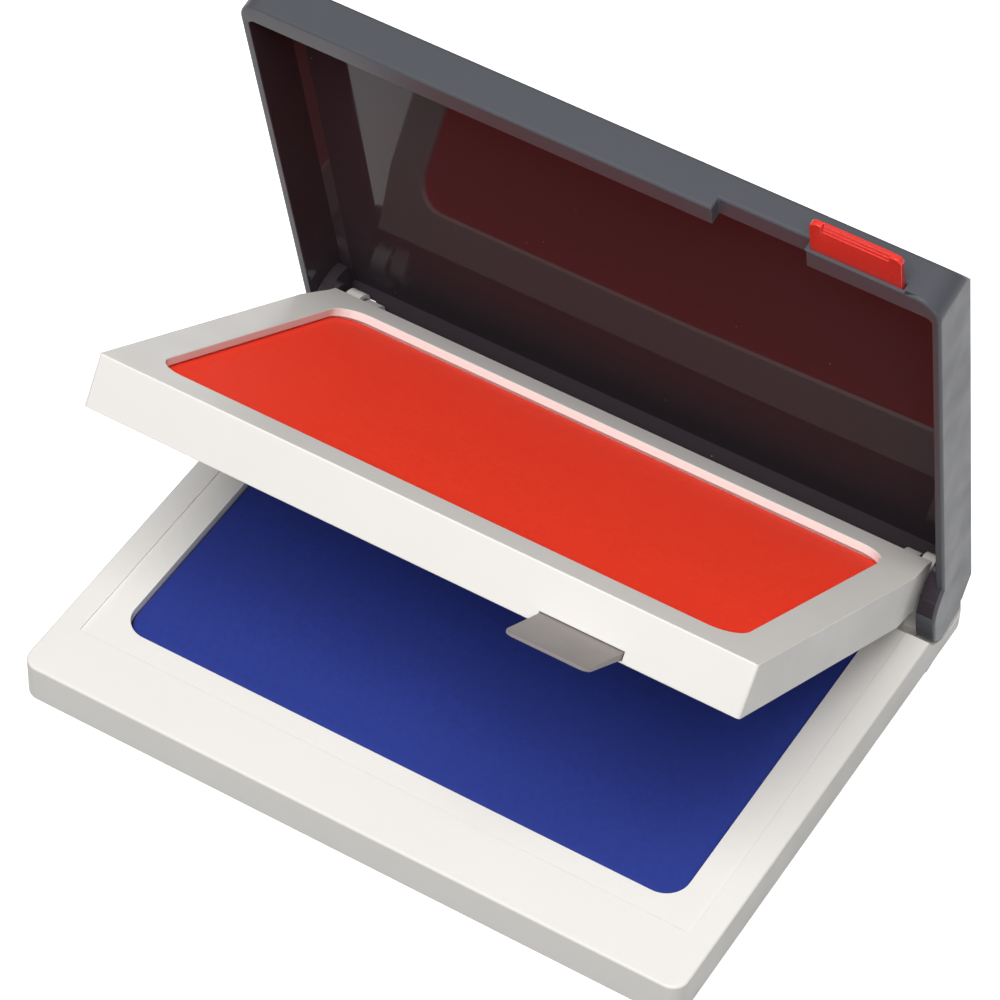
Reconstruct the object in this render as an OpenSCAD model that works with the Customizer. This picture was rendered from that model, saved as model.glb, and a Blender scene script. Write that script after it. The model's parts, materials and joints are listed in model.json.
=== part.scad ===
// Two-colour ink pad: a flat base with one pad, a hinged tray with a second pad, and a hinged lid.
// The origin is the middle of the base's resting face, +X is to the right and +Z is up.
// The tray and the lid are drawn closed and then turned up about the shared hinge axis.

/* [Base] */
// Width of the base
base_w = 106; // [85:0.5:140]
// Depth of the base, front to back
base_d = 84; // [66:0.5:110]
// Height of the base
base_h = 6.9; // [5.5:0.1:9]
// Radius of the base's upright corners
base_corner_r = 2.5; // [1:0.1:4]
// Thickness of the base's side walls
base_wall = 1.6; // [1.2:0.1:2.2]
// Thickness of the base's top face
base_top_t = 1.5; // [1.2:0.1:2]
// Depth of the shallow step that the tray's seal rib closes into
seal_step = 0.35; // [0.2:0.05:0.5]
// Width of the raised land along the base's left and right edges
side_land = 3.75; // [3:0.05:5]
// Depth of the raised land along the base's front edge
front_land = 9.3; // [8.5:0.1:11]
// Thickness of the base's bottom plate
plate_t = 1.2; // [1:0.1:1.6]

/* [Tray] */
// Height of the tray
tray_h = 7.9; // [6.5:0.1:10]
// Thickness of the tray's side walls
tray_wall = 1.5; // [1.2:0.1:2]
// Thickness of the tray's top face
tray_top_t = 1.3; // [1:0.1:1.6]
// Length over which the tray's sides taper in towards the hinge
tray_taper_l = 7.5; // [3:0.1:12]
// Chamfer along the tray's upper front edge
tray_chamfer = 0.2; // [0.15:0.05:1]

/* [Lid] */
// Thickness of the lid's main panel
lid_panel_t = 1.4; // [1:0.1:1.6]
// Thickness of the lid's side walls
lid_wall = 1.3; // [1.1:0.1:1.6]
// Thickness of the lid's front wall at its rim
lid_front_wall = 3.65; // [3:0.05:4]
// Height of the sloping face along the lid's front edge
lid_slope_h = 4.4; // [2:0.1:4.6]
// Depth of the sloping face along the lid's front edge
lid_slope_d = 7.9; // [6:0.1:9]
// Thickness of the lid where its front face slopes
lid_slope_t = 1; // [0.8:0.1:1]
// Chamfer along the lid's outer side edges
lid_side_chamfer = 1.9; // [1:0.1:3]
// Chamfer along the lid's outer back edge
lid_back_chamfer = 4.8; // [4:0.1:5]
// Radius of the lid's outer front corners
lid_corner_r = 3.6; // [2:0.1:4]
// Radius of the corners inside the lid
lid_inner_r = 0.8; // [0.5:0.1:2]
// Radius of the lid's back corners
lid_back_r = 1; // [0.5:0.1:1.5]
// How far the closed lid stands proud of the base at the front and back
lid_over = 0.45; // [0.3:0.05:1]

/* [Hinge] */
// Distance from the base's back face to the hinge axis
hinge_inset = 4.85; // [4.6:0.05:6]
// Height of the hinge axis above the base's top face
hinge_rise = 4.25; // [4:0.05:4.6]
// Distance from the tray's back edge to the hinge axis
tray_reach = 5.36; // [5.2:0.02:7]
// Diameter of the hinge pins
pin_d = 2; // [1.6:0.1:2.4]
// Radius of the round top of each base post
post_r = 3.2; // [2.8:0.05:3.3]
// Distance from the hinge axis to the back face of each base post
post_back = 2; // [1.8:0.05:2.2]
// Thickness of each base post
post_t = 2.4; // [2:0.1:3]
// Radius of the round end of each tray lug
lug_r = 2.6; // [2.2:0.05:2.8]
// Thickness of each tray lug
lug_t = 2.4; // [2:0.1:3]
// Thickness of each lid arm
arm_t = 3; // [2.6:0.1:3.2]
// Thickness of the friction washers beside the tray's lugs
tray_washer_t = 0.4; // [0.3:0.05:0.6]
// Thickness of the friction washers beside the lid's arms
lid_washer_t = 0.5; // [0.4:0.05:0.8]
// Radius of the lid arm's curved edge about the hinge axis
arm_r = 7; // [6.4:0.1:7.4]
// Radius of the rounded toe of the lid arm
toe_r = 3.4; // [2.8:0.1:3.6]
// Distance from the hinge axis back to the toe's centre
toe_back = 3.35; // [2.8:0.05:3.4]
// Height above the hinge axis at which the arm's curved edge ends behind the lid
arm_shoulder = 1.3; // [1:0.1:1.5]

/* [Pads] */
// Distance from the base's side faces to both ink windows
window_side = 8; // [7:0.1:14]
// Distance from the base's front face to the lower ink window
lower_window_front = 13.1; // [12.4:0.1:20]
// Distance from the lower ink window back to the trough behind it
lower_window_back = 2.5; // [2.4:0.1:10]
// Distance from the tray's front edge to the upper ink window
upper_window_front = 5.8; // [5.2:0.1:10]
// Distance from the tray's back edge to the upper ink window
upper_window_back = 5.6; // [5:0.1:10]
// Corner radius of the lower ink window
lower_window_r = 3.8; // [2:0.1:6]
// Corner radius of the upper ink window
upper_window_r = 4.4; // [2:0.1:6]
// Depth of the lower pad's surface below the frame around it
lower_recess = 0.9; // [0.6:0.1:1.6]
// Depth of the upper pad's surface below the tray's top face
upper_recess = 1.6; // [1:0.1:2.4]
// Thickness of the stiff board under each pad
board_t = 0.6; // [0.4:0.1:1]
// Thickness of the cloth over each pad
cloth_t = 0.4; // [0.3:0.05:0.6]
// Width of the flange that keeps each cloth under its frame
cloth_flange = 1.6; // [1.2:0.1:2]

/* [Finger tabs] */
// Width of the tray's finger tab
tray_tab_w = 12.6; // [10:0.1:14]
// Length of the tray's finger tab in front of the tray
tray_tab_l = 11.3; // [9:0.1:13]
// Thickness of the tray's finger tab
tray_tab_t = 1.2; // [1:0.05:1.4]
// Thickness of the tray's finger tab at its front edge
tray_tab_tip_t = 0.45; // [0.4:0.05:0.9]
// Height of the tray tab's underside above the tray's underside
tray_tab_lift = 0.35; // [0.3:0.05:0.5]
// Width of the lid's finger tab
lid_tab_w = 13.3; // [10:0.1:14]
// Distance from the lid's right face to its finger tab
lid_tab_side = 5.7; // [4:0.1:12]
// Length of the lid's finger tab in front of the lid
lid_tab_l = 6.1; // [5:0.1:8]
// Thickness of the lid's finger tab
lid_tab_t = 0.9; // [0.8:0.05:1.6]
// Length of the sloping thumb rest along the lid tab's edge
lid_tab_scoop = 1.8; // [1:0.1:3]
// Height of the lid tab's underside above the lid's rim
lid_tab_lift = 0.5; // [0.4:0.05:0.8]
// Distance between the lid's finger tab and the notch for the tray's finger tab
tab_space = 0.4; // [0.3:0.05:2]

/* [Clearances] */
// Gap between the closed tray and the base
tray_gap = 0.3; // [0.25:0.05:0.5]
// Gap between the closed lid's rim and the base
lid_gap = 0.3; // [0.25:0.05:0.5]
// Gap on each side between pieces that drop into one another
seat_gap = 0.1; // [0.05:0.05:0.2]
// Radial gap between a pin and the bore that turns on it
run_gap = 0.05; // [0.03:0.01:0.08]
// Gap between a washer and the pieces beside it
washer_gap = 0.1; // [0.05:0.05:0.2]
// Gap between the lid's arms and the trough that they swing in
swing_gap = 0.35; // [0.3:0.05:0.6]
// Gap on each side of the tray's finger tab in the lid's notch
notch_gap = 0.6; // [0.4:0.1:1]
// Gap above the tray's finger tab in the lid's notch
notch_top_gap = 0.35; // [0.25:0.05:0.6]
// Gap on each side between the tray and the closed lid
tray_side_gap = 1.15; // [0.5:0.05:2]
// Gap between the tray's front edge and the closed lid's front wall
tray_front_gap = 1.9; // [0.6:0.05:3]
// Gap between the tray's top face and the closed lid's panel
tray_top_gap = 1; // [1:0.05:2]
// Gap between the tray's narrower part and the lid's arms
arm_gap = 0.4; // [0.3:0.05:0.8]

/* [Pose] */
// How far the tray is tipped up
tray_tilt = 32.4; // [0:0.1:40]
// How far the lid is open, measured from the base
lid_open = 76.4; // [0:0.1:120]
// Widest that the lid can open, measured from the base
lid_widest = 120; // [100:1:120]

/* [Hidden] */
$fn = 64;

ABOVE = 5;            // how far cutting shapes run past the faces that they cut
OFF_WHITE = "#efece6";
CHARCOAL = "#3c3f46";
TAB_GREY = "#8c8684";
TAB_RED = "#e0332c";
INK_BLUE = "#2a3585";
INK_RED = "#e2392a";
FELT_GREY = "#c9c4bb";
BOARD_GREY = "#7d7a75";
STEEL = "#b9bcc0";

// Base
base_front = -base_d / 2;
base_back = base_d / 2;
window_w = base_w - 2 * window_side;
well_wall = 1.2;                                   // wall round each pad, below its window
ledge = cloth_flange + seat_gap;                   // how far a window's lip stands over its well
step_w = base_w - 2 * side_land;
frame_z = base_h - seal_step;                      // top of the stepped-down face round the window

// Hinge
hinge_y = base_back - hinge_inset;
hinge_z = base_h + hinge_rise;
arm_in_x = base_w / 2 - arm_t;                     // inner face of a lid arm
post_out_x = arm_in_x - lid_washer_t - 2 * washer_gap;
post_in_x = post_out_x - post_t;
lug_out_x = post_in_x - tray_washer_t - 2 * washer_gap;
lug_in_x = lug_out_x - lug_t;
toe_y = hinge_y + toe_back;
toe_z = hinge_z - (arm_r - toe_r);                 // the toe's foot is level with the arm's
swing_r = norm([toe_y - hinge_y, toe_z - hinge_z]) + toe_r + swing_gap;
bore_r = pin_d / 2 + run_gap;
pin_end_gap = 0.6;                                 // from a pin's outer end to the arm's blind end
arm_skin = 0.8;                                    // what is left of an arm outside its blind bore
pin_out_x = base_w / 2 - arm_skin - pin_end_gap;
press = 0.01;                                      // radial press of a pin in its post

// Lower window, between the base's front border and the trough
trough_front = hinge_y - sqrt(swing_r * swing_r - hinge_rise * hinge_rise);
lower_window_d = trough_front - lower_window_back - base_front - lower_window_front;
lower_window_y = base_front + lower_window_front + lower_window_d / 2;

// Lid, closed
lid_z = base_h + lid_gap;
lid_h = tray_gap + tray_h + tray_top_gap + lid_panel_t - lid_gap;
lid_top = lid_z + lid_h;
lid_front = base_front - lid_over;
lid_back = base_back + lid_over;
lid_front_h = lid_h - lid_slope_h;                 // height of the upright part of the front wall
slope_angle = atan(lid_slope_h / lid_slope_d);
post_slot_gap = 0.5;                               // gap round a post in the lid's back wall

// Tray, closed
tray_z = base_h + tray_gap;
tray_back = hinge_y - tray_reach;
tray_front = lid_front + lid_front_wall + tray_front_gap;
tray_d = tray_back - tray_front;
tray_y = (tray_back + tray_front) / 2;
tray_w = base_w - 2 * (lid_wall + tray_side_gap);
waist_x = arm_in_x - arm_gap;                      // side of the tray where the lid's arms pass it
waist_l = arm_r - tray_reach + arm_gap;            // how far in front of its back edge they pass it
upper_window_d = tray_d - upper_window_front - upper_window_back;
upper_window_y = tray_back - upper_window_back - upper_window_d / 2;
rib_w = 1.2;                                       // width of the seal rib under the tray
rib_out = 1.2;                                     // distance from the lower window out to the rib
rib_drop = tray_gap + seal_step - 0.2;             // the rib stops short of the step by 0.2

// Finger tabs
lid_tab_x = base_w / 2 - lid_tab_side - lid_tab_w / 2;
tray_tab_x = lid_tab_x - lid_tab_w / 2 - tab_space - notch_gap - tray_tab_w / 2;
notch_h = tray_gap - lid_gap + tray_tab_lift + tray_tab_t + notch_top_gap;

// A rectangle with exact round corners
module rounded_rect(w, d, r) {
    union() {
        square([w - 2 * r, d], center = true);
        square([w, d - 2 * r], center = true);
        for (x = [-1, 1], y = [-1, 1])
            translate([x * (w / 2 - r), y * (d / 2 - r)]) circle(r);
    }
}

module rounded_slab(w, d, h, r) {
    linear_extrude(h) rounded_rect(w, d, r);
}

// A plate cut to an outline drawn as (depth, height), running from x0 to x1
module side_plate(x0, x1) {
    translate([x0, 0, 0]) rotate([90, 0, 90]) linear_extrude(x1 - x0) children();
}

// A solid of an outline drawn as (width, height), running from y0 back to y1
module front_plate(y0, y1) {
    translate([0, y1, 0]) rotate([90, 0, 0]) linear_extrude(y1 - y0) children();
}

module x_cylinder(x0, x1, r) {
    translate([x0, hinge_y, hinge_z]) rotate([0, 90, 0]) cylinder(h = x1 - x0, r = r);
}

module tipped(angle) {
    translate([0, hinge_y, hinge_z]) rotate([-angle, 0, 0]) translate([0, -hinge_y, -hinge_z]) children();
}

module left_copy() {
    mirror([1, 0, 0]) children();
}

// ---- Base ----

module base_post() {
    side_plate(post_in_x, post_out_x) union() {
        translate([hinge_y, hinge_z]) circle(post_r);
        translate([hinge_y - post_r, plate_t]) square([post_r + post_back, hinge_z - plate_t]);
    }
}

module base_frame() {
    inner_w = base_w - 2 * base_wall;
    inner_back = lower_window_y + lower_window_d / 2 + ledge + well_wall;
    inner_front = base_front + base_wall;
    well_w = window_w + 2 * ledge;
    well_d = lower_window_d + 2 * ledge;
    color(OFF_WHITE)
    difference() {
        union() {
            difference() {
                rounded_slab(base_w, base_d, base_h, base_corner_r);
                // hollow inside the side walls, under the top face
                difference() {
                    translate([0, (inner_front + inner_back) / 2, -ABOVE])
                        rounded_slab(inner_w, inner_back - inner_front, ABOVE + frame_z - base_top_t, 1);
                    translate([0, lower_window_y, plate_t])
                        rounded_slab(well_w + 2 * well_wall, well_d + 2 * well_wall, base_h, lower_window_r);
                }
                // well that the pad sits in
                translate([0, lower_window_y, -ABOVE])
                    rounded_slab(well_w, well_d, ABOVE + frame_z - base_top_t, lower_window_r);
                translate([0, lower_window_y, 0])
                    rounded_slab(window_w, lower_window_d, base_h + ABOVE, lower_window_r);
                // step that the seal rib closes into
                translate([-step_w / 2, base_front + front_land, frame_z])
                    cube([step_w, base_d, ABOVE]);
                // trough that the lid's arms and back wall swing in
                x_cylinder(-base_w, base_w, swing_r);
            }
            base_post();
            left_copy() base_post();
        }
        x_cylinder(-base_w, base_w, pin_d / 2 - press);
    }
}

module base_plate() {
    inner_front = base_front + base_wall + seat_gap;
    inner_back = lower_window_y + lower_window_d / 2 + ledge + well_wall - seat_gap;
    color(OFF_WHITE)
    translate([0, (inner_front + inner_back) / 2, 0])
        rounded_slab(base_w - 2 * (base_wall + seat_gap), inner_back - inner_front, plate_t, 1);
}

// ---- Pads: a board, a felt block and a cloth that wraps over the felt ----

module pad_board(w, d, r) {
    rounded_slab(w, d, board_t, r);
}

module pad_felt(w, d, h, r) {
    rounded_slab(w - 2 * cloth_t, d - 2 * cloth_t, h, r);
}

// The cloth is a cap over the felt with a flange round its foot, under the window's lip
module pad_cloth(w, d, h, r, flange) {
    difference() {
        union() {
            rounded_slab(w, d, h, r);
            rounded_slab(w + 2 * flange, d + 2 * flange, cloth_t, r);
        }
        translate([0, 0, -ABOVE])
            rounded_slab(w - 2 * cloth_t, d - 2 * cloth_t, ABOVE + h - cloth_t, r);
    }
}

lower_felt_z = plate_t + board_t;
lower_cloth_h = frame_z - lower_recess - lower_felt_z;
lower_pad_w = window_w - 2 * seat_gap;
lower_pad_d = lower_window_d - 2 * seat_gap;

module lower_pad_board() {
    color(BOARD_GREY)
    translate([0, lower_window_y, plate_t])
        pad_board(lower_pad_w + 2 * cloth_flange, lower_pad_d + 2 * cloth_flange, lower_window_r);
}

module lower_pad_felt() {
    color(FELT_GREY)
    translate([0, lower_window_y, lower_felt_z])
        pad_felt(lower_pad_w, lower_pad_d, lower_cloth_h - cloth_t, lower_window_r);
}

module lower_pad_cloth() {
    color(INK_BLUE)
    translate([0, lower_window_y, lower_felt_z])
        pad_cloth(lower_pad_w, lower_pad_d, lower_cloth_h, lower_window_r, cloth_flange);
}

// ---- Hinge hardware ----

module hinge_pin() {
    color(STEEL) x_cylinder(lug_in_x - seat_gap, pin_out_x, pin_d / 2);
}

module washer(x0, x1) {
    color(STEEL)
    difference() {
        x_cylinder(x0, x1, lug_r);
        x_cylinder(x0 - 1, x1 + 1, bore_r);
    }
}

module tray_washer() {
    washer(lug_out_x + washer_gap, post_in_x - washer_gap);
}

module lid_washer() {
    washer(post_out_x + washer_gap, arm_in_x - washer_gap);
}

module hinge_pin_right() { hinge_pin(); }
module hinge_pin_left() { left_copy() hinge_pin(); }
module tray_washer_right() { tray_washer(); }
module tray_washer_left() { left_copy() tray_washer(); }
module lid_washer_right() { lid_washer(); }
module lid_washer_left() { left_copy() lid_washer(); }

// ---- Tray ----

tray_tab_slot_z = tray_z + tray_tab_lift - seat_gap;
// length of the tray tab's head, between the front wall and the wall round the pad
tab_root = upper_window_front - ledge - well_wall - tray_wall - 2 * seat_gap;
tab_head = 1.2;                                    // how far the head is wider than the tab, each side

module tray_outline(inset) {
    r = 0.6;
    difference() {
        translate([0, tray_y]) rounded_rect(tray_w - 2 * inset, tray_d - 2 * inset, r);
        for (side = [0, 1])
            mirror([side, 0])
                polygon([
                    [tray_w / 2 - inset, tray_back - waist_l - tray_taper_l],
                    [waist_x - inset, tray_back - waist_l], [waist_x - inset, tray_back + ABOVE],
                    [tray_w / 2 + ABOVE, tray_back + ABOVE],
                    [tray_w / 2 + ABOVE, tray_back - waist_l - tray_taper_l]
                ]);
    }
}

module tray_lug() {
    side_plate(lug_in_x, lug_out_x) union() {
        translate([hinge_y, hinge_z]) circle(lug_r);
        translate([tray_back - tray_wall / 2, hinge_z - lug_r])
            square([tray_reach + tray_wall / 2, 2 * lug_r]);
    }
}

module tray_frame() {
    well_w = window_w + 2 * ledge;
    well_d = upper_window_d + 2 * ledge;
    color(OFF_WHITE)
    tipped(tray_tilt)
    difference() {
        union() {
            difference() {
                translate([0, 0, tray_z]) linear_extrude(tray_h) tray_outline(0);
                difference() {
                    translate([0, 0, tray_z - ABOVE])
                        linear_extrude(ABOVE + tray_h - tray_top_t) tray_outline(tray_wall);
                    translate([0, upper_window_y, tray_z + plate_t])
                        rounded_slab(well_w + 2 * well_wall, well_d + 2 * well_wall, tray_h, upper_window_r);
                }
                translate([0, upper_window_y, tray_z - ABOVE])
                    rounded_slab(well_w, well_d, ABOVE + tray_h - tray_top_t, upper_window_r);
                translate([0, upper_window_y, tray_z])
                    rounded_slab(window_w, upper_window_d, tray_h + ABOVE, upper_window_r);
                // chamfer along the upper front edge
                side_plate(-tray_w, tray_w)
                    translate([tray_front, tray_z + tray_h]) rotate(45)
                        square(sqrt(2) * tray_chamfer, center = true);
                // slot for the finger tab
                translate([tray_tab_x - tray_tab_w / 2 - seat_gap, tray_front - ABOVE, tray_tab_slot_z])
                    cube([tray_tab_w + 2 * seat_gap, ABOVE + 2 * tray_wall, tray_tab_t + 2 * seat_gap]);
            }
            tray_lug();
            left_copy() tray_lug();
        }
        x_cylinder(-base_w, base_w, bore_r);
    }
}

module tray_floor() {
    head_w = tray_tab_w + 2 * (tab_head + seat_gap);
    rib_x = window_w + 2 * rib_out;
    rib_y = lower_window_d + 2 * rib_out;
    color(OFF_WHITE)
    tipped(tray_tilt)
    union() {
        difference() {
            translate([0, 0, tray_z]) linear_extrude(plate_t) tray_outline(tray_wall + seat_gap);
            // room for the finger tab's head
            translate([tray_tab_x - head_w / 2, tray_front, tray_z - ABOVE])
                cube([head_w, tray_wall + tab_root + 2 * seat_gap, 2 * ABOVE]);
        }
        // rib that closes round the lower pad
        translate([0, lower_window_y, tray_z - rib_drop])
            difference() {
                rounded_slab(rib_x + 2 * rib_w, rib_y + 2 * rib_w, rib_drop, lower_window_r);
                translate([0, 0, -1]) rounded_slab(rib_x, rib_y, rib_drop + 2, lower_window_r);
            }
    }
}

upper_felt_z = tray_z + plate_t + board_t;
upper_cloth_h = tray_z + tray_h - upper_recess - upper_felt_z;
upper_pad_w = window_w - 2 * seat_gap;
upper_pad_d = upper_window_d - 2 * seat_gap;

module upper_pad_board() {
    color(BOARD_GREY)
    tipped(tray_tilt)
    translate([0, upper_window_y, tray_z + plate_t])
        pad_board(upper_pad_w + 2 * cloth_flange, upper_pad_d + 2 * cloth_flange, upper_window_r);
}

module upper_pad_felt() {
    color(FELT_GREY)
    tipped(tray_tilt)
    translate([0, upper_window_y, upper_felt_z])
        pad_felt(upper_pad_w, upper_pad_d, upper_cloth_h - cloth_t, upper_window_r);
}

module upper_pad_cloth() {
    color(INK_RED)
    tipped(tray_tilt)
    translate([0, upper_window_y, upper_felt_z])
        pad_cloth(upper_pad_w, upper_pad_d, upper_cloth_h, upper_window_r, cloth_flange);
}

module tray_tab() {
    r = 1.4;
    head_y = tray_front + tray_wall + seat_gap;
    color(TAB_GREY)
    tipped(tray_tilt)
    translate([tray_tab_x, 0, tray_z + tray_tab_lift])
    difference() {
        linear_extrude(tray_tab_t) union() {
            translate([-tray_tab_w / 2, tray_front - tray_tab_l + r])
                square([tray_tab_w, tray_tab_l - r + tray_wall + seat_gap + tab_root]);
            translate([-tray_tab_w / 2 + r, tray_front - tray_tab_l])
                square([tray_tab_w - 2 * r, 2 * r]);
            for (x = [-1, 1])
                translate([x * (tray_tab_w / 2 - r), tray_front - tray_tab_l + r]) circle(r);
            translate([-tray_tab_w / 2 - tab_head, head_y])
                square([tray_tab_w + 2 * tab_head, tab_root]);
        }
        // underside that rises towards the front edge
        side_plate(-tray_tab_w, tray_tab_w)
            polygon([
                [tray_front, 0], [tray_front - tray_tab_l, tray_tab_t - tray_tab_tip_t],
                [tray_front - tray_tab_l - 1, tray_tab_t - tray_tab_tip_t],
                [tray_front - tray_tab_l - 1, -1], [tray_front, -1]
            ]);
    }
}

// ---- Lid ----

// Side view of the closed lid, inset by the given thicknesses
module lid_profile(front, slope, top, back) {
    f = lid_front + front;
    b = lid_back - back;
    t = lid_top - top;
    bend_z = lid_z + lid_front_h + front * tan(slope_angle) - slope / cos(slope_angle);
    slope_y = lid_front + lid_slope_d - (top - slope / cos(slope_angle)) / tan(slope_angle);
    chamfer = lid_back_chamfer - (2 - sqrt(2)) * back - (top - back);
    polygon([
        [f, lid_z - (front > 0 ? ABOVE : 0)], [f, bend_z], [slope_y, t],
        [b - chamfer, t], [b, t - chamfer], [b, lid_z - (front > 0 ? ABOVE : 0)]
    ]);
}

module lid_body(front, slope, top, back, side, corner_r) {
    w = base_w - 2 * side;
    d = lid_back - lid_front - front - back;
    y = (lid_front + front + lid_back - back) / 2;
    chamfer = lid_side_chamfer - (2 - sqrt(2)) * side - (top - side);
    low = side > 0 ? ABOVE : 0;
    h = lid_h - top + low;
    intersection() {
        side_plate(-w / 2, w / 2) lid_profile(front, slope, top, back);
        front_plate(lid_front - ABOVE, lid_back + ABOVE)
            translate([0, lid_z - low])
                polygon([
                    [-w / 2, 0], [w / 2, 0], [w / 2, h - chamfer], [w / 2 - chamfer, h],
                    [-w / 2 + chamfer, h], [-w / 2, h - chamfer]
                ]);
        translate([0, y, lid_z - low]) rounded_slab(w, d, h, lid_back_r);
        translate([0, y + ABOVE, lid_z - low])
            rounded_slab(w, d + 2 * ABOVE, h, corner_r);
    }
}

// Side view of a lid arm: a curved edge about the hinge axis that ends in a rounded toe. Behind the
// lid's back face it stops at a low shoulder.
module arm_outline() {
    foot_z = toe_z - toe_r;
    intersection() {
        union() {
            translate([hinge_y, hinge_z]) circle(arm_r);
            translate([toe_y, toe_z]) circle(toe_r);
            translate([hinge_y, foot_z]) square([toe_back, toe_r]);
        }
        union() {
            translate([lid_front, foot_z]) square([2 * base_d, hinge_z + arm_shoulder - foot_z]);
            lid_profile(0, 0, 0, 0);
        }
        translate([lid_front, foot_z]) square([2 * base_d, lid_h]);
    }
}

module lid_arm() {
    side_plate(arm_in_x, base_w / 2) arm_outline();
}

// The space that a base post and its clearance take up, seen from the lid as it opens
module post_slot() {
    reach = 2 * lid_h;
    side_plate(post_in_x - post_slot_gap, arm_in_x)
        translate([hinge_y, hinge_z]) union() {
            circle(post_r + post_slot_gap / 2);
            rotate(lid_widest - 90)
                translate([0, -reach]) square([reach, reach + post_back + post_slot_gap]);
        }
}

module lid_shell() {
    notch_w = tray_tab_w + 2 * notch_gap;
    socket_w = lid_tab_w + 2 * seat_gap;
    color(CHARCOAL)
    tipped(lid_open)
    difference() {
        union() {
            difference() {
                lid_body(0, 0, 0, 0, 0, lid_corner_r);
                lid_body(lid_front_wall, lid_slope_t, lid_panel_t, lid_wall, lid_wall, lid_inner_r);
            }
            lid_arm();
            left_copy() lid_arm();
        }
        // notch that the tray's finger tab comes through
        translate([tray_tab_x - notch_w / 2, lid_front - ABOVE, lid_z - ABOVE])
            cube([notch_w, 2 * ABOVE, ABOVE + notch_h]);
        // socket that the lid's finger tab is pressed into
        translate([lid_tab_x - socket_w / 2, lid_front - ABOVE, lid_z + lid_tab_lift - seat_gap])
            cube([socket_w, ABOVE + lid_front_wall - 1.1, lid_tab_t + 2 * seat_gap]);
        // slots in the back wall that the base's posts pass through as the lid opens
        post_slot();
        left_copy() post_slot();
        // blind bores that turn on the pins
        x_cylinder(-base_w / 2 + arm_skin, base_w / 2 - arm_skin, bore_r);
    }
}

module lid_tab() {
    r = 1;
    scoop_w = lid_tab_w - 3.6;
    root = lid_front_wall - 1.1 - seat_gap;
    color(TAB_RED)
    tipped(lid_open)
    translate([lid_tab_x, lid_front, lid_z + lid_tab_lift])
    difference() {
        translate([0, (root - lid_tab_l) / 2, 0])
            rounded_slab(lid_tab_w, root + lid_tab_l, lid_tab_t, r);
        // sloping thumb rest along the middle of the tab's edge
        side_plate(-scoop_w / 2, scoop_w / 2)
            polygon([
                [-lid_tab_l - 1, -1], [lid_tab_scoop - lid_tab_l, -1], [lid_tab_scoop - lid_tab_l, 0],
                [-lid_tab_l, lid_tab_t - 0.15], [-lid_tab_l - 1, lid_tab_t - 0.15]
            ]);
    }
}

base_frame();
base_plate();
lower_pad_board();
lower_pad_felt();
lower_pad_cloth();
hinge_pin_left();
hinge_pin_right();
tray_washer_left();
tray_washer_right();
lid_washer_left();
lid_washer_right();
tray_frame();
tray_floor();
upper_pad_board();
upper_pad_felt();
upper_pad_cloth();
tray_tab();
lid_shell();
lid_tab();
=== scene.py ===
"""Finishes the two-colour ink pad: moulded shells, finger tabs, inked cloth pads and a small studio."""

import json
import math

import bmesh
import bpy
from mathutils import Matrix, Vector

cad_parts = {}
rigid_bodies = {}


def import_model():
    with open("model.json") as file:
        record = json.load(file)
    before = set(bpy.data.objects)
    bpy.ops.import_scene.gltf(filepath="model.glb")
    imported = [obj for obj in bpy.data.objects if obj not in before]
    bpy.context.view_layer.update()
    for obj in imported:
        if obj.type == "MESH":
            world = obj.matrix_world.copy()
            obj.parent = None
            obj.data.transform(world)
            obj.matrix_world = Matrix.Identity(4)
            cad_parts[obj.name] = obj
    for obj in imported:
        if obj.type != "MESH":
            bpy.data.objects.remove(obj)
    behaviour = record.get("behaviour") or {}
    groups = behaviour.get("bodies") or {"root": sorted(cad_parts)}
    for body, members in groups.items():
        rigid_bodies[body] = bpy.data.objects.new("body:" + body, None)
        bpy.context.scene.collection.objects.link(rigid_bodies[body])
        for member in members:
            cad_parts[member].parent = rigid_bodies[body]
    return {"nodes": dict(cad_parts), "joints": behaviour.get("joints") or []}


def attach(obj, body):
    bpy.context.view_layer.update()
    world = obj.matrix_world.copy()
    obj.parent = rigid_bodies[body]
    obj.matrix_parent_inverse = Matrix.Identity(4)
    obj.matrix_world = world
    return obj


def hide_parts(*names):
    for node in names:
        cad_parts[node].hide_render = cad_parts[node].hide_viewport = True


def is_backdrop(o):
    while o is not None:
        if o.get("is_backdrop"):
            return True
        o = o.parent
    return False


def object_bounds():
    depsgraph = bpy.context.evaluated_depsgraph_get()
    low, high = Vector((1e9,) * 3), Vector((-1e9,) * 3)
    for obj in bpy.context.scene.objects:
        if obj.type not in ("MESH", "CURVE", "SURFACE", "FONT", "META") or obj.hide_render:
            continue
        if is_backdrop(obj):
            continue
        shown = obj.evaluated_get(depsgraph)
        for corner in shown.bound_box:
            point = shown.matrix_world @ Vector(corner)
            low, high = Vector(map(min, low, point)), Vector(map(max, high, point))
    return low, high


bl_info = {
    "name": "Two-colour ink pad",
    "version": (1, 0, 0),
    "blender": (4, 5, 0),
    "location": "3D View > Sidebar > Ink pad",
    "description": "Finishes an ink pad's moulded shells, finger tabs and inked cloths, and lights it",
    "category": "Object",
}

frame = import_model()
CAD_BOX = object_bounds()
MM = 0.001

JOINTS = {joint["name"]: joint for joint in frame["joints"]}
HINGE = Vector(JOINTS["tray_hinge"]["pos_m"])
TRAY_TILT = -JOINTS["tray_hinge"]["range_deg"][0]              # degrees from the closed tray to rest
LID_OPEN = TRAY_TILT - JOINTS["lid_hinge"]["range_deg"][0]     # degrees from the closed lid to rest
OPENING = {"base": 0.0, "tray": TRAY_TILT, "lid": LID_OPEN}
SHARP = math.radians(30)                                       # least angle of an edge that is softened


# ---- Places -------------------------------------------------------------------------------------

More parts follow.
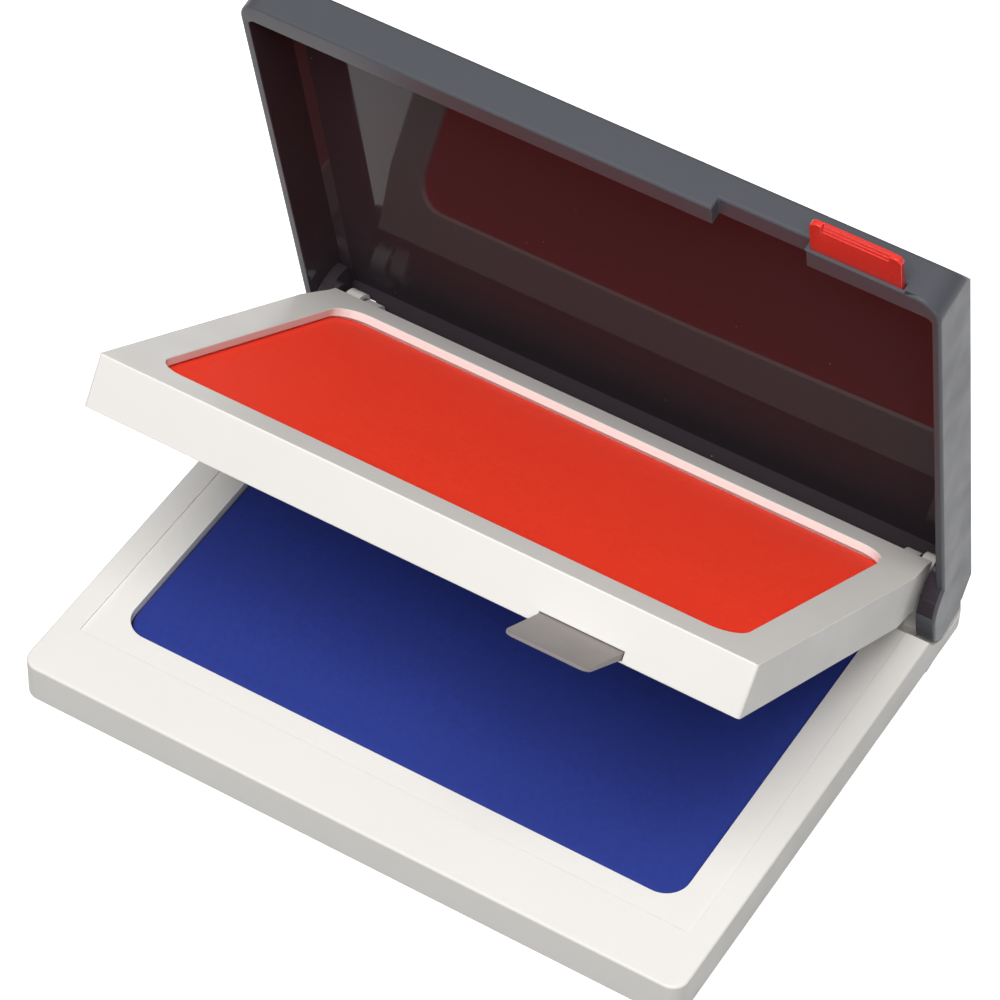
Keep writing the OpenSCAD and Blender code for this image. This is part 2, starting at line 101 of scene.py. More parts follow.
def opened(body):
    """The matrix that turns a piece drawn closed to where its body stands at rest."""
    turn = Matrix.Rotation(-math.radians(OPENING[body]), 4, "X")
    return Matrix.Translation(HINGE) @ turn @ Matrix.Translation(-HINGE)


def corners(points):
    """Lowest and highest corner of the box round some points."""
    low = Vector([min(p[i] for p in points) for i in range(3)])
    high = Vector([max(p[i] for p in points) for i in range(3)])
    return low, high


def closed_box(node, body):
    """Lowest and highest corner of a CAD node with its body closed."""
    shut = opened(body).inverted()
    return corners([shut @ v.co for v in frame["nodes"][node].data.vertices])


def piece_box(piece):
    """Lowest and highest corner of a piece as it is drawn."""
    return corners([v.co for v in piece.data.vertices])


# ---- Mesh work ----------------------------------------------------------------------------------

def select_only(piece):
    """Leaves edit mode, and makes a piece the only one selected, or none at all."""
    if bpy.context.object and bpy.context.object.mode != "OBJECT":
        bpy.ops.object.mode_set(mode="OBJECT")
    for other in bpy.context.view_layer.objects:
        other.select_set(False)
    if piece is not None:
        piece.select_set(True)
    bpy.context.view_layer.objects.active = piece


def apply_modifier(piece, kind, **settings):
    """Adds a modifier with its settings and applies it."""
    select_only(piece)
    modifier = piece.modifiers.new(kind.title(), kind)
    for key, value in settings.items():
        setattr(modifier, key, value)
    bpy.ops.object.modifier_apply(modifier=modifier.name)


def box_piece(name, low, high):
    """A box between two corners, as the start of a piece, with its object at the origin."""
    select_only(None)
    bpy.ops.mesh.primitive_cube_add(size=1, location=(low + high) / 2, scale=high - low)
    piece = bpy.context.object
    piece.name = name
    piece.data.name = name
    bpy.ops.object.transform_apply(location=True, rotation=True, scale=True)
    return piece


def select_edges(piece, rule):
    """Enters edit mode with only the edges selected whose two ends pass rule(a, b)."""
    select_only(piece)
    bpy.ops.object.mode_set(mode="EDIT")
    bpy.ops.mesh.select_mode(type="EDGE")
    bpy.ops.mesh.select_all(action="DESELECT")
    mesh = bmesh.from_edit_mesh(piece.data)
    for edge in mesh.edges:
        edge.select_set(rule(edge.verts[0].co, edge.verts[1].co))
    bmesh.update_edit_mesh(piece.data)


def merged_copy(node, name, body):
    """A copy of a CAD node, turned to its closed place, with its triangles joined into whole faces."""
    piece = bpy.data.objects.new(name, frame["nodes"][node].data.copy())
    piece.data.name = name
    piece.data.materials.clear()
    bpy.context.scene.collection.objects.link(piece)
    select_only(piece)
    bpy.ops.mesh.customdata_custom_splitnormals_clear()
    piece.data.transform(opened(body).inverted())
    bpy.ops.object.mode_set(mode="EDIT")
    bpy.ops.mesh.select_all(action="SELECT")
    bpy.ops.mesh.remove_doubles(threshold=2e-6)
    bpy.ops.mesh.dissolve_limited(angle_limit=math.radians(0.4))
    bpy.ops.mesh.select_all(action="SELECT")
    bpy.ops.mesh.quads_convert_to_tris(quad_method="BEAUTY", ngon_method="BEAUTY")
    bpy.ops.object.mode_set(mode="OBJECT")
    return piece


def soften(piece, radius, segments, share=None):
    """Rounds the sharp edges, each by the share of the radius that share(middle of the edge) gives."""
    low, high = piece_box(piece)
    mesh = bmesh.new()
    mesh.from_mesh(piece.data)
    layer = mesh.edges.layers.float.new("bevel_weight_edge")
    for edge in mesh.edges:
        if len(edge.link_faces) == 2 and edge.calc_face_angle() > SHARP:
            middle = (edge.verts[0].co + edge.verts[1].co) / 2
            edge[layer] = share(middle) if share else 1.0
    mesh.to_mesh(piece.data)
    mesh.free()
    apply_modifier(
        piece, "BEVEL", width=radius, segments=segments, limit_method="WEIGHT",
        use_clamp_overlap=False, loop_slide=False,
    )
    # a rounded edge never stands proud of the moulding
    for vertex in piece.data.vertices:
        vertex.co = [min(max(vertex.co[i], low[i]), high[i]) for i in range(3)]


def finish_piece(piece, body, nodes, material, flat_faces=True):
    """Turns a piece drawn closed to its place at rest, gives it its material if it has none, hangs it on
    its body and hides the CAD nodes that it stands for.

    A moulded piece's flat faces take their normals from their own plane, so that they reflect flat."""
    piece.data.transform(opened(body))
    if not piece.data.materials:
        piece.data.materials.append(material)
    select_only(piece)
    bpy.ops.object.shade_smooth_by_angle(angle=SHARP)
    if flat_faces:
        apply_modifier(piece, "WEIGHTED_NORMAL", mode="FACE_AREA", weight=100, keep_sharp=True)
    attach(piece, body)
    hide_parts(*nodes)


# ---- Materials ----------------------------------------------------------------------------------

def linear(hex_colour):
    """An sRGB hex colour as Blender's linear colour, opaque."""
    channels = [int(hex_colour[i:i + 2], 16) / 255 for i in (1, 3, 5)]
    return [c / 12.92 if c <= 0.04045 else ((c + 0.055) / 1.055) ** 2.4 for c in channels] + [1.0]


def shaded(colour, share):
    """A linear colour made lighter or darker by a share of itself."""
    return [min(c * share, 1.0) for c in list(colour)[:3]] + [1.0]


def add_node(tree, kind, settings=None, links=None):
    """Adds a shader node, sets its properties and sockets, and links its inputs."""
    node = tree.nodes.new(kind)
    for key, value in (settings or {}).items():
        if isinstance(key, int) or key in node.inputs:
            node.inputs[key].default_value = value
        else:
            setattr(node, key, value)
    for key, source in (links or {}).items():
        tree.links.new(source, node.inputs[key])
    return node


def start_material(name, colour, **sockets):
    """A material with its Principled shader set, and its tree."""
    material = bpy.data.materials.new(name)
    material.use_nodes = True
    material.diffuse_color = colour
    shader = material.node_tree.nodes["Principled BSDF"]
    shader.inputs["Base Color"].default_value = colour
    for key, value in sockets.items():
        shader.inputs[key.replace("_", " ")].default_value = value
    return material, material.node_tree, shader


def moulded_abs(name, colour, roughness, grain_size, grain_depth, gloss):
    """ABS from a finely spark-eroded mould: an even satin face with a fine grain and a soft sheen."""
    material, tree, shader = start_material(
        name, colour, Roughness=roughness, IOR=1.54, Specular_IOR_Level=gloss)
    place = add_node(tree, "ShaderNodeTexCoord").outputs["Object"]
    # slow clouds of tone, as melt flow leaves them, about 14 mm across
    flow = add_node(tree, "ShaderNodeTexNoise", {"Scale": 1 / (14 * MM), "Detail": 3.0}, {"Vector": place})
    tint = add_node(
        tree, "ShaderNodeMix", {"data_type": "RGBA", 6: shaded(colour, 1.01), 7: shaded(colour, 0.975)},
        {0: flow.outputs["Fac"]})
    tree.links.new(tint.outputs[2], shader.inputs["Base Color"])
    # handling leaves some places a little glossier, about 6 mm across
    wear = add_node(tree, "ShaderNodeTexNoise", {"Scale": 1 / (6 * MM), "Detail": 4.0}, {"Vector": place})
    rough = add_node(
        tree, "ShaderNodeMapRange",
        {"From Min": 0.3, "From Max": 0.7, "To Min": roughness - 0.05, "To Max": roughness + 0.05},
        {"Value": wear.outputs["Fac"]})
    tree.links.new(rough.outputs["Result"], shader.inputs["Roughness"])
    grain = add_node(
        tree, "ShaderNodeTexNoise", {"Scale": 1 / grain_size, "Detail": 2.0}, {"Vector": place})
    bump = add_node(
        tree, "ShaderNodeBump", {"Strength": 0.5, "Distance": grain_depth},
        {"Height": grain.outputs["Fac"]})
    tree.links.new(bump.outputs["Normal"], shader.inputs["Normal"])
    return material


def polished_abs(name, colour, gloss):
    """ABS from a polished mould: a dark mirror with faint wipe marks and a few specks of dust."""
    material, tree, shader = start_material(
        name, colour, Roughness=0.05, IOR=1.54, Specular_IOR_Level=gloss)
    place = add_node(tree, "ShaderNodeTexCoord").outputs["Object"]
    # wipe marks about 22 mm across
    wipe = add_node(tree, "ShaderNodeTexNoise", {"Scale": 1 / (22 * MM), "Detail": 4.0}, {"Vector": place})
    rough = add_node(
        tree, "ShaderNodeMapRange", {"From Min": 0.35, "From Max": 0.7, "To Min": 0.02, "To Max": 0.07},
        {"Value": wipe.outputs["Fac"]})
    tree.links.new(rough.outputs["Result"], shader.inputs["Roughness"])
    # one speck in each 5 mm cell, about a tenth of a millimetre across
    cells = add_node(
        tree, "ShaderNodeTexVoronoi", {"Scale": 1 / (5 * MM)}, {"Vector": place})
    speck = add_node(
        tree, "ShaderNodeMapRange", {"From Min": 0.012, "From Max": 0.03, "To Min": 1.0, "To Max": 0.0},
        {"Value": cells.outputs["Distance"]})
    dust = add_node(
        tree, "ShaderNodeMix", {"data_type": "RGBA", 6: colour, 7: linear("#8a7f7c")},
        {0: speck.outputs["Result"]})
    tree.links.new(dust.outputs[2], shader.inputs["Base Color"])
    return material


def inked_cloth(name, colour, thread, mottle_share, glow):
    """Fine plain-weave cotton soaked with ink: flat and deep, mottled where ink stands, with a painted glow
    of its own colour.
    """
    # painted glow: the cloth emits its own colour at the glow's strength, which lightens it as though lit
    material, tree, shader = start_material(
        name, colour, Roughness=0.7, IOR=1.45, Specular_IOR_Level=0.16, Sheen_Weight=0.03,
        Emission_Color=colour, Emission_Strength=glow)
    place = add_node(tree, "ShaderNodeTexCoord").outputs["Object"]
    # matted fibres about 0.8 mm across, and wet and dry places about 9 mm across
    fibres = add_node(
        tree, "ShaderNodeTexNoise", {"Scale": 1 / (0.8 * MM), "Detail": 3.0}, {"Vector": place})
    lit = add_node(
        tree, "ShaderNodeMapRange", {"From Min": 0.35, "From Max": 0.65}, {"Value": fibres.outputs["Fac"]})
    pools = add_node(tree, "ShaderNodeTexNoise", {"Scale": 1 / (9 * MM), "Detail": 3.0}, {"Vector": place})
    lint = add_node(
        tree, "ShaderNodeMix",
        {"data_type": "RGBA", 6: shaded(colour, 1 - mottle_share), 7: shaded(colour, 1 + mottle_share)},
        {0: lit.outputs["Result"]})
    wet = add_node(
        tree, "ShaderNodeMapRange", {"From Min": 0.35, "From Max": 0.75, "To Min": 0.0, "To Max": 0.5},
        {"Value": pools.outputs["Fac"]})
    soaked = add_node(
        tree, "ShaderNodeMix", {"data_type": "RGBA", 7: shaded(colour, 1 - mottle_share)},
        {0: wet.outputs["Result"], 6: lint.outputs[2]})
    tree.links.new(soaked.outputs[2], shader.inputs["Base Color"])
    # the weave follows the cloth's own map, one wave to a thread
    flat = add_node(tree, "ShaderNodeUVMap", {"uv_map": "Weave"}).outputs["UV"]
    wave = {"Scale": 2 * math.pi / (20 * thread), "Distortion": 0.6, "Detail": 1.0, "Detail Scale": 2.0}
    warp = add_node(tree, "ShaderNodeTexWave", dict(wave, bands_direction="X"), {"Vector": flat})
    weft = add_node(tree, "ShaderNodeTexWave", dict(wave, bands_direction="Y"), {"Vector": flat})
    crossing = add_node(
        tree, "ShaderNodeMath", {"operation": "MULTIPLY"}, {0: warp.outputs["Fac"], 1: weft.outputs["Fac"]})
    height = add_node(
        tree, "ShaderNodeMath", {"operation": "ADD"},
        {0: crossing.outputs["Value"], 1: fibres.outputs["Fac"]})
    bump = add_node(
        tree, "ShaderNodeBump", {"Strength": 0.4, "Distance": 0.03 * MM},
        {"Height": height.outputs["Value"]})
    tree.links.new(bump.outputs["Normal"], shader.inputs["Normal"])
    return material


def ground_steel(name):
    """Ground steel pin stock: bright, with fine marks round the pin."""
    material, tree, shader = start_material(name, linear("#b9bcc0"), Roughness=0.3, Metallic=1.0)
    place = add_node(tree, "ShaderNodeTexCoord").outputs["Object"]
    # grinding marks 0.2 mm apart
    marks = add_node(
        tree, "ShaderNodeTexWave",
        {"bands_direction": "X", "Scale": 2 * math.pi / (20 * 0.2 * MM), "Distortion": 2.0},
        {"Vector": place})
    rough = add_node(
        tree, "ShaderNodeMapRange", {"To Min": 0.22, "To Max": 0.38}, {"Value": marks.outputs["Fac"]})
    tree.links.new(rough.outputs["Result"], shader.inputs["Roughness"])
    return material


def pressed_felt(name, colour):
    """Pressed wool felt: matt, with short matted fibres."""
    material, tree, shader = start_material(name, colour, Roughness=0.95, IOR=1.45, Sheen_Weight=0.3)
    place = add_node(tree, "ShaderNodeTexCoord").outputs["Object"]
    # fibres matted about 0.4 mm across
    fibres = add_node(
        tree, "ShaderNodeTexNoise", {"Scale": 1 / (0.4 * MM), "Detail": 6.0}, {"Vector": place})
    tint = add_node(
        tree, "ShaderNodeMix", {"data_type": "RGBA", 6: shaded(colour, 1.05), 7: shaded(colour, 0.8)},
        {0: fibres.outputs["Fac"]})
    tree.links.new(tint.outputs[2], shader.inputs["Base Color"])
    bump = add_node(
        tree, "ShaderNodeBump", {"Strength": 0.8, "Distance": 0.2 * MM}, {"Height": fibres.outputs["Fac"]})
    tree.links.new(bump.outputs["Normal"], shader.inputs["Normal"])
    return material


# ---- Settings -----------------------------------------------------------------------------------

class InkPadShells(bpy.types.PropertyGroup):
    """Edges and colours of the moulded shells."""

    base_edge: bpy.props.FloatProperty(
        name="Base edge", description="Radius of the base's outer edges", default=0.4 * MM,
        min=0.05 * MM, max=0.6 * MM, unit="LENGTH")
    tray_edge: bpy.props.FloatProperty(
        name="Tray edge", description="Radius of the tray's outer edges", default=0.14 * MM,
        min=0.05 * MM, max=0.3 * MM, unit="LENGTH")
    lid_edge: bpy.props.FloatProperty(
        name="Lid edge", description="Radius of the lid's outer edges", default=0.45 * MM,
        min=0.05 * MM, max=0.6 * MM, unit="LENGTH")
    off_white: bpy.props.FloatVectorProperty(
        name="Base and tray", description="Colour of the base and the tray", size=4, min=0, max=1,
        default=linear("#ece9e4"), subtype="COLOR")
    charcoal: bpy.props.FloatVectorProperty(
        name="Lid outside", description="Colour of the lid's satin outside", size=4, min=0, max=1,
        default=linear("#54565c"), subtype="COLOR")
    # darker than the outside's charcoal though it is the same plastic: painted shade for the lid's shaded
    # inside
    polished: bpy.props.FloatVectorProperty(
        name="Lid inside", description="Colour of the lid's polished inside", size=4, min=0, max=1,
        default=linear("#3c353a"), subtype="COLOR")


class InkPadTabs(bpy.types.PropertyGroup):
    """Edges, ribs and colours of the finger tabs."""

    edge: bpy.props.FloatProperty(
        name="Tab edge", description="Radius of the tabs' edges", default=0.14 * MM,
        min=0.05 * MM, max=0.2 * MM, unit="LENGTH")
    rib: bpy.props.FloatProperty(
        name="Rib", description="Width of the fine ribs on the lid tab's thumb rest",
        default=0.22 * MM, min=0.1 * MM, max=0.4 * MM, unit="LENGTH")
    ribs: bpy.props.IntProperty(
        name="Ribs", description="Number of ribs on the lid tab's thumb rest", default=3, min=1, max=5)
    grey: bpy.props.FloatVectorProperty(
        name="Tray tab", description="Colour of the tray's finger tab", size=4, min=0, max=1,
        default=linear("#8b8482"), subtype="COLOR")
    red: bpy.props.FloatVectorProperty(
        name="Lid tab", description="Colour of the lid's finger tab", size=4, min=0, max=1,
        default=linear("#e8392f"), subtype="COLOR")


class InkPadPads(bpy.types.PropertyGroup):
    """Shape and colours of the two inked pads."""

    crown: bpy.props.FloatProperty(
        name="Crown", description="Most that the cloth may swell over its felt", default=0.2 * MM,
        min=0, max=0.6 * MM, unit="LENGTH")
    shoulder: bpy.props.FloatProperty(
        name="Shoulder", description="Radius of the cloth's turned edge", default=0.3 * MM,
        min=0.1 * MM, max=1 * MM, unit="LENGTH")
    lower_corner: bpy.props.FloatProperty(
        name="Lower corner", description="Corner radius of the lower pad", default=3.8 * MM,
        min=1 * MM, max=8 * MM, unit="LENGTH")
    upper_corner: bpy.props.FloatProperty(
        name="Upper corner", description="Corner radius of the upper pad", default=4.4 * MM,
        min=1 * MM, max=8 * MM, unit="LENGTH")
    thread: bpy.props.FloatProperty(
        name="Thread", description="Distance from thread to thread of the cloth", default=0.4 * MM,
        min=0.1 * MM, max=2 * MM, unit="LENGTH")
    blue: bpy.props.FloatVectorProperty(
        name="Lower ink", description="Colour of the ink in the lower pad", size=4, min=0, max=1,
        default=linear("#2b3a8b"), subtype="COLOR")
    red: bpy.props.FloatVectorProperty(
        name="Upper ink", description="Colour of the ink in the upper pad", size=4, min=0, max=1,
        default=linear("#ff381c"), subtype="COLOR")


class InkPadStudio(bpy.types.PropertyGroup):
    """The camera and the lights."""

    lens: bpy.props.FloatProperty(
        name="Lens", description="Focal length on a 36 mm sensor", default=165.75, min=20,
        max=400, subtype="DISTANCE_CAMERA")
    azimuth: bpy.props.FloatProperty(
        name="Azimuth", description="Turn of the camera round the ink pad, to its right",
        default=math.radians(28.93), subtype="ANGLE")
    elevation: bpy.props.FloatProperty(
        name="Elevation", description="Height of the camera above the horizon",
        default=math.radians(48.21), subtype="ANGLE")
    roll: bpy.props.FloatProperty(
        name="Roll", description="Turn of the camera about its own line of sight",
        default=math.radians(2.8), subtype="ANGLE")
    distance: bpy.props.FloatProperty(
        name="Distance", description="From the camera to the middle of the ink pad",
        default=0.62, min=0.2, max=3, unit="LENGTH")
    aim: bpy.props.FloatVectorProperty(
        name="Aim", description="Point that the camera looks at", default=(0.0025, -0.0063, 0.0406),
        subtype="TRANSLATION")
    daylight: bpy.props.FloatProperty(
        name="Daylight", description="Strength of the white room all round", default=0.17, min=0,
        max=3)
    softbox: bpy.props.FloatProperty(
        name="Softbox", description="Power of the softbox", default=15.6, min=0, max=60,
        subtype="POWER")
    softbox_place: bpy.props.FloatVectorProperty(
        name="Softbox place", description="Where the softbox hangs", default=(0.16, -0.5, 1.05),
        subtype="TRANSLATION")
    softbox_size: bpy.props.FloatProperty(
        name="Softbox size", description="Side of the square softbox", default=0.8, min=0.1, max=3,
        unit="LENGTH")
    floor_glow: bpy.props.FloatProperty(
        name="Floor glow", description="Light that comes through the floor from below", default=0.75,
        min=0, max=2)


# ---- Pieces -------------------------------------------------------------------------------------

class INKPAD_OT_base(bpy.types.Operator):
    """Makes the base's moulded shell and its bottom plate"""

    bl_idname = "inkpad.base"
    bl_label = "Base"

    def execute(self, context):
        look = context.scene.inkpad_shells
        material = moulded_abs(
            "Off-white ABS, spark-eroded", look.off_white, 0.42, 0.35 * MM, 0.02 * MM, 0.15)
        shell = merged_copy("base_frame", "base_shell", "base")
        low, high = piece_box(shell)
        rim = 2.6 * MM                                         # reach of the upright round corners

        def share(middle):
            """Outer edges are round, and the window, the step and the trough have crisp edges."""
            inset = min(high.x - abs(middle.x), middle.y - low.y, high.y - middle.y)
            trough = (middle - HINGE).yz.length < 10 * MM
            return 1.0 if inset < rim and not trough else 0.15

        soften(shell, look.base_edge, 3, share)
        finish_piece(shell, "base", ["base_frame"], material)
        plate = merged_copy("base_plate", "base_bottom_plate", "base")
        soften(plate, 0.2 * MM, 2)
        finish_piece(plate, "base", ["base_plate"], material)
        return {"FINISHED"}


class INKPAD_OT_tray(bpy.types.Operator):
    """Makes the tray's moulded shell and its floor"""

    bl_idname = "inkpad.tray"
    bl_label = "Tray"

    def execute(self, context):
        look = context.scene.inkpad_shells
        material = moulded_abs(
            "Off-white ABS, fine spark-eroded", look.off_white, 0.38, 0.35 * MM, 0.015 * MM, 0.15)
        shell = merged_copy("tray_frame", "tray_shell", "tray")
        low, high = piece_box(shell)

        def share(middle):
            """The upper front edge has its own small chamfer, which keeps its corners crisp."""
            chamfer = middle.y < low.y + 0.3 * MM and middle.z > high.z - 0.3 * MM
            return 0.4 if chamfer else 1.0

        soften(shell, look.tray_edge, 3, share)
        finish_piece(shell, "tray", ["tray_frame"], material)
        floor = merged_copy("tray_floor", "tray_bottom_plate", "tray")
        soften(floor, 0.15 * MM, 2)
        finish_piece(floor, "tray", ["tray_floor"], material)
        return {"FINISHED"}


class INKPAD_OT_lid(bpy.types.Operator):
    """Makes the lid's shell, satin outside and polished inside"""

    bl_idname = "inkpad.lid"
    bl_label = "Lid"

    def execute(self, context):
        look = context.scene.inkpad_shells
        shell = merged_copy("lid_shell", "lid_cover", "lid")
        low, high = closed_box("lid_shell", "lid")
        reach = 0.6 * MM                                       # less than any wall's thickness
        corner = 4 * MM                                        # reach of the upright round corners

        def inside(middle):
            """Whether a place is past the lid's outer skin, round corners included."""
            x, y = (min(middle[i] - low[i], high[i] - middle[i]) for i in (0, 1))
            skin = corner - math.hypot(corner - x, corner - y) if max(x, y) < corner else min(x, y)
            return skin > reach and middle.z < high.z - reach

        centre = (low + high) / 2

        def share(middle):
            """The mouth's inner edge is crisp, and the corners that the tray closes into are square."""
            if not inside(middle):
                return 1.0
            return 0.3 if middle.z < centre.z else 0.08

        soften(shell, look.lid_edge, 4, share)
        shell.data.materials.append(moulded_abs(
            "Charcoal ABS, spark-eroded", look.charcoal, 0.36, 0.3 * MM, 0.02 * MM, 0.12))
        # the inside's colour is darker than the outside's: painted shade inside the lid
        shell.data.materials.append(polished_abs("Charcoal ABS, polished", look.polished, 0.07))
        for face in shell.data.polygons:
            inward = (centre - face.center).dot(face.normal) > 0
            face.material_index = int(inside(face.center) and inward)
        finish_piece(shell, "lid", ["lid_shell"], None)
        return {"FINISHED"}


class INKPAD_OT_tabs(bpy.types.Operator):
    """Makes the two finger tabs, the lid's with fine ribs on its thumb rest"""

    bl_idname = "inkpad.tabs"
    bl_label = "Finger tabs"

    def execute(self, context):
        look = context.scene.inkpad_tabs
        tab = merged_copy("tray_tab", "tray_finger_tab", "tray")
        soften(tab, look.edge, 3)
        finish_piece(tab, "tray", ["tray_tab"], moulded_abs(
            "Grey ABS, spark-eroded", look.grey, 0.4, 0.3 * MM, 0.015 * MM, 0.3))

        tab = merged_copy("lid_tab", "lid_finger_tab", "lid")
        low, high = piece_box(tab)
        soften(tab, look.edge, 3)
        # the thumb rest slopes up from the tab's underside to its edge, between two plain ends
        plain_end = 1.8 * MM
        rest_length = 1.8 * MM
        rest_height = high.z - low.z - 0.15 * MM
        select_only(None)
        for number in range(1, look.ribs + 1):
            along = number / (look.ribs + 1)
            bpy.ops.mesh.primitive_cylinder_add(
                vertices=12, radius=look.rib / 2, depth=high.x - low.x - 2 * plain_end - look.rib,
                rotation=(0, math.pi / 2, 0),
                location=((low.x + high.x) / 2, low.y + rest_length * (1 - along),
                          low.z + rest_height * along))
            rib = bpy.context.object
            bpy.ops.object.transform_apply(location=True, rotation=True, scale=True)
            apply_modifier(rib, "BEVEL", width=look.rib / 5, segments=2, angle_limit=math.radians(40))
            tab.select_set(True)
            rib.select_set(True)
            context.view_layer.objects.active = tab
            bpy.ops.object.join()
            select_only(None)
        finish_piece(tab, "lid", ["lid_tab"], moulded_abs(
            "Red ABS, glossy moulded", look.red, 0.28, 0.3 * MM, 0.01 * MM, 0.3))
        return {"FINISHED"}


def ink_pad(name, node, body, corner, tuck, look):
    """A felt block under tight cloth: a slab whose top is blown up a little, in its frame's window.

    It stands past the cloth's cap by the tuck: a gap's share, or under the lip where it lies deeper."""
    low, high = closed_box(node, body)
    hem = 1.6 * MM - tuck                                      # hem of the cloth, under the frame
    low = Vector((low.x + hem, low.y + hem, low.z))
    high = Vector((high.x - hem, high.y - hem, high.z))
    pad = box_piece(name, low, high)
    select_edges(pad, lambda a, b: abs(a.z - b.z) > 0.5 * (high.z - low.z))
    bpy.ops.mesh.bevel(offset=corner, segments=12, affect="EDGES")
    select_edges(pad, lambda a, b: min(a.z, b.z) > high.z - 0.1 * MM)
    bpy.ops.mesh.bevel(offset=look.shoulder, segments=3, affect="EDGES")
    bpy.ops.object.mode_set(mode="OBJECT")
    apply_modifier(pad, "REMESH", mode="VOXEL", voxel_size=0.7 * MM)
    start = [v.co.copy() for v in pad.data.vertices]
    select_only(pad)
    # the sides are held by the frame, and only the top can swell
    held = pad.vertex_groups.new(name="Held")
    held.add([v.index for v in pad.data.vertices if v.co.z < high.z - 0.6 * MM], 1.0, "REPLACE")
    cloth = pad.modifiers.new("Cloth", "CLOTH")
    cloth.settings.vertex_group_mass = "Held"
    cloth.settings.use_pressure = True
    cloth.settings.uniform_pressure_force = 4
    cloth.settings.effector_weights.gravity = 0
    settled = 20                                           # frames that the cloth takes to stand still
    for number in range(1, settled + 1):
        bpy.context.scene.frame_set(number)
    bpy.ops.object.modifier_apply(modifier=cloth.name)
    bpy.context.scene.frame_set(1)
    for vertex, rest in zip(pad.data.vertices, start):
        move = vertex.co - rest
        if move.length > look.crown:
            vertex.co = rest + move.normalized() * look.crown
    apply_modifier(pad, "SMOOTH", iterations=4, factor=0.5)
    apply_modifier(pad, "SUBSURF", levels=1, render_levels=1)
    # smoothing draws the slab in, and its frame's window holds it out again
    inner_low, inner_high = piece_box(pad)
    for vertex in pad.data.vertices:
        for i in (0, 1):
            share = (vertex.co[i] - inner_low[i]) / (inner_high[i] - inner_low[i])
            vertex.co[i] = low[i] + share * (high[i] - low[i])
    weave = pad.data.uv_layers.new(name="Weave")
    for loop in pad.data.loops:
        weave.data[loop.index].uv = pad.data.vertices[loop.vertex_index].co.xy
    return pad


class INKPAD_OT_pads(bpy.types.Operator):
    """Makes the two inked cloth pads"""

    bl_idname = "inkpad.pads"
    bl_label = "Inked pads"

    def execute(self, context):
        look = context.scene.inkpad_pads
        pad = ink_pad("lower_ink_pad", "lower_pad_cloth", "base", look.lower_corner, 0.05 * MM, look)
        finish_piece(
            pad, "base", ["lower_pad_cloth"],
            inked_cloth("Cotton, soaked with blue ink", look.blue, look.thread, 0.05, 0.0),
            flat_faces=False)
        pad = ink_pad("upper_ink_pad", "upper_pad_cloth", "tray", look.upper_corner, 1 * MM, look)
        finish_piece(
            pad, "tray", ["upper_pad_cloth"],
            # the red cloth's glow of 0.14 is painted light: emission in its own colour that lightens it as
            # though lit
            inked_cloth("Cotton, soaked with red ink", look.red, look.thread, 0.14, 0.14),
            flat_faces=False)
        return {"FINISHED"}


class INKPAD_OT_inner_parts(bpy.types.Operator):
    """Gives the hinge hardware, felts and boards their real finishes"""

    bl_idname = "inkpad.inner_parts"
    bl_label = "Hinge hardware and pad fillings"

    def execute(self, context):
        steel = ground_steel("Steel, ground")
        felt = pressed_felt("Wool felt, pressed", linear("#c9c4bb"))
        board = moulded_abs("Grey board, calendered", linear("#7d7a75"), 0.7, 0.6 * MM, 0.05 * MM, 0.2)
        finishes = {"pin": steel, "washer": steel, "felt": felt, "board": board}
        for node, piece in frame["nodes"].items():
            for word, finish in finishes.items():
                if word in node:
                    piece.data.materials.clear()
                    piece.data.materials.append(finish)
        return {"FINISHED"}


# ---- Stage --------------------------------------------------------------------------------------

def softbox(name, place, size, power, aim):
    """A square area light that looks at a point."""
    data = bpy.data.lights.new(name, "AREA")
    data.size = size
    data.energy = power
    light = bpy.data.objects.new(name, data)
    light.location = place
    light.rotation_mode = "QUATERNION"
    light.rotation_quaternion = (Vector(aim) - Vector(place)).to_track_quat("-Z", "Y")
    bpy.context.scene.collection.objects.link(light)


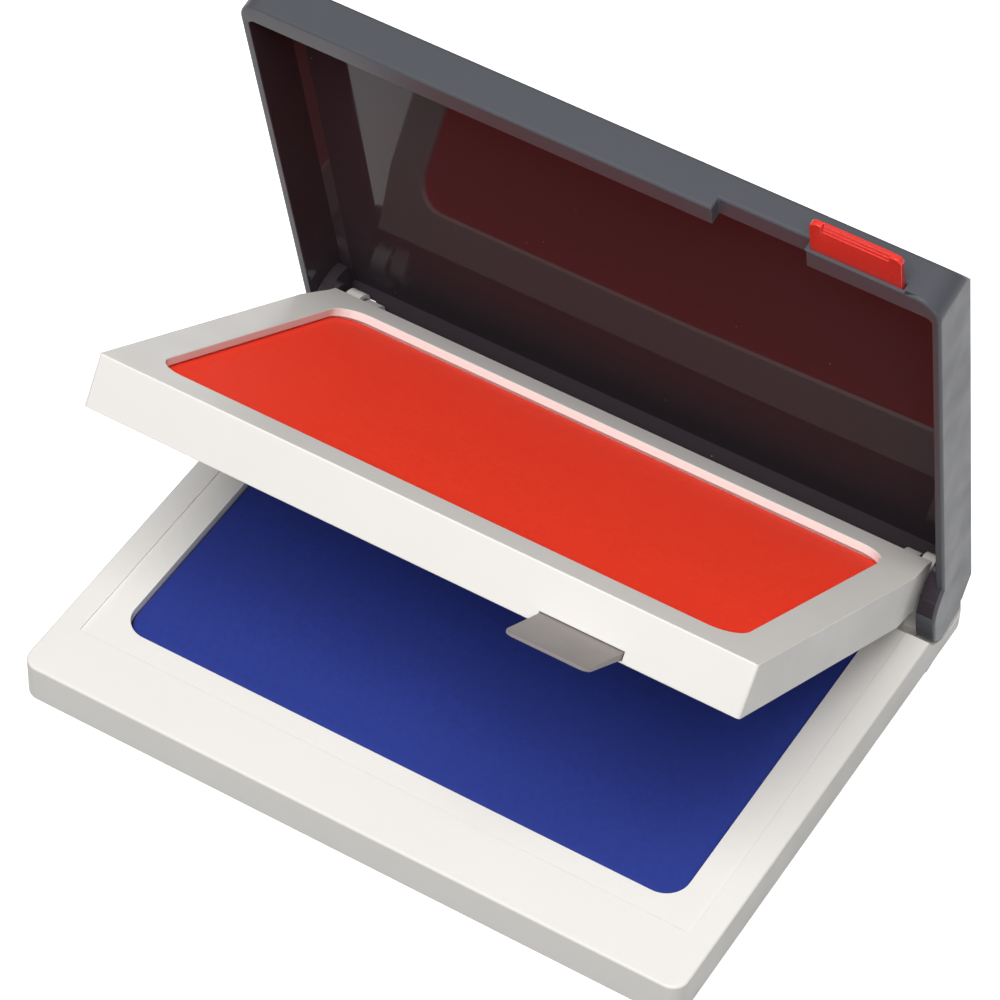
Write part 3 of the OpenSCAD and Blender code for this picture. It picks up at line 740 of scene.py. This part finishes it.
class INKPAD_OT_stage(bpy.types.Operator):
    """Adds the pale floor, the soft lights and the camera"""

    bl_idname = "inkpad.stage"
    bl_label = "Studio"

    def execute(self, context):
        settings = context.scene.inkpad_studio
        select_only(None)
        bpy.ops.mesh.primitive_plane_add(size=6, location=(0, 0, -0.05 * MM))
        floor = context.object
        floor.name = "studio_floor"
        bpy.ops.object.transform_apply(location=True)
        # a light table: even and white from above, and it throws no light back at the pieces
        opal, _, _ = start_material(
            "Opal acrylic, lit from below", linear("#fdfdfd"), Roughness=0.9, IOR=1.49,
            Specular_IOR_Level=0.1, Emission_Color=linear("#ffffff"),
            Emission_Strength=settings.floor_glow)
        floor.data.materials.append(opal)
        floor.visible_diffuse = False
        floor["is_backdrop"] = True

        world = bpy.data.worlds.new("White room")
        world.use_nodes = True
        world.node_tree.nodes["Background"].inputs["Color"].default_value = linear("#ffffff")
        world.node_tree.nodes["Background"].inputs["Strength"].default_value = settings.daylight
        context.scene.world = world
        softbox("Softbox", settings.softbox_place, settings.softbox_size, settings.softbox, settings.aim)
        context.scene.view_settings.view_transform = "Standard"

        a, e = settings.azimuth, settings.elevation
        back = Vector((math.sin(a) * math.cos(e), -math.cos(a) * math.cos(e), math.sin(e)))
        right = Vector((math.cos(a), math.sin(a), 0))
        up = back.cross(right)
        turn = Matrix((right, up, back)).transposed().to_4x4() @ Matrix.Rotation(settings.roll, 4, "Z")
        data = bpy.data.cameras.new("Camera")
        data.lens = settings.lens
        data.sensor_width = 36
        data.clip_start = 0.01
        camera = bpy.data.objects.new("Camera", data)
        camera.matrix_world = Matrix.Translation(Vector(settings.aim) + back * settings.distance) @ turn
        context.scene.collection.objects.link(camera)
        context.scene.camera = camera
        return {"FINISHED"}


OPERATORS = (
    INKPAD_OT_stage, INKPAD_OT_base, INKPAD_OT_tray, INKPAD_OT_lid, INKPAD_OT_tabs, INKPAD_OT_pads,
    INKPAD_OT_inner_parts,
)


GROUPS = {
    "inkpad_shells": InkPadShells, "inkpad_tabs": InkPadTabs, "inkpad_pads": InkPadPads,
    "inkpad_studio": InkPadStudio,
}


class INKPAD_PT_panel(bpy.types.Panel):
    """Lists the ink pad's pieces and settings"""

    bl_idname = "INKPAD_PT_panel"
    bl_label = "Ink pad"
    bl_space_type = "VIEW_3D"
    bl_region_type = "UI"
    bl_category = "Ink pad"

    def draw(self, context):
        for operator in OPERATORS:
            self.layout.operator(operator.bl_idname)
        for group in GROUPS:
            settings = getattr(context.scene, group)
            for key in settings.__annotations__:
                self.layout.prop(settings, key)


CLASSES = (*GROUPS.values(), *OPERATORS, INKPAD_PT_panel)


def register():
    for cls in CLASSES:
        bpy.utils.register_class(cls)
    for name, group in GROUPS.items():
        setattr(bpy.types.Scene, name, bpy.props.PointerProperty(type=group))


def unregister():
    for name in GROUPS:
        delattr(bpy.types.Scene, name)
    for cls in reversed(CLASSES):
        bpy.utils.unregister_class(cls)


def main():
    register()
    bpy.ops.inkpad.stage()
    bpy.ops.inkpad.base()
    bpy.ops.inkpad.tray()
    bpy.ops.inkpad.lid()
    bpy.ops.inkpad.tabs()
    bpy.ops.inkpad.pads()
    bpy.ops.inkpad.inner_parts()
    boxes = {"cad": CAD_BOX, "visual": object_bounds()}
    {name: [list(corner) for corner in box] for name, box in boxes.items()}


if __name__ == "__main__":
    main()
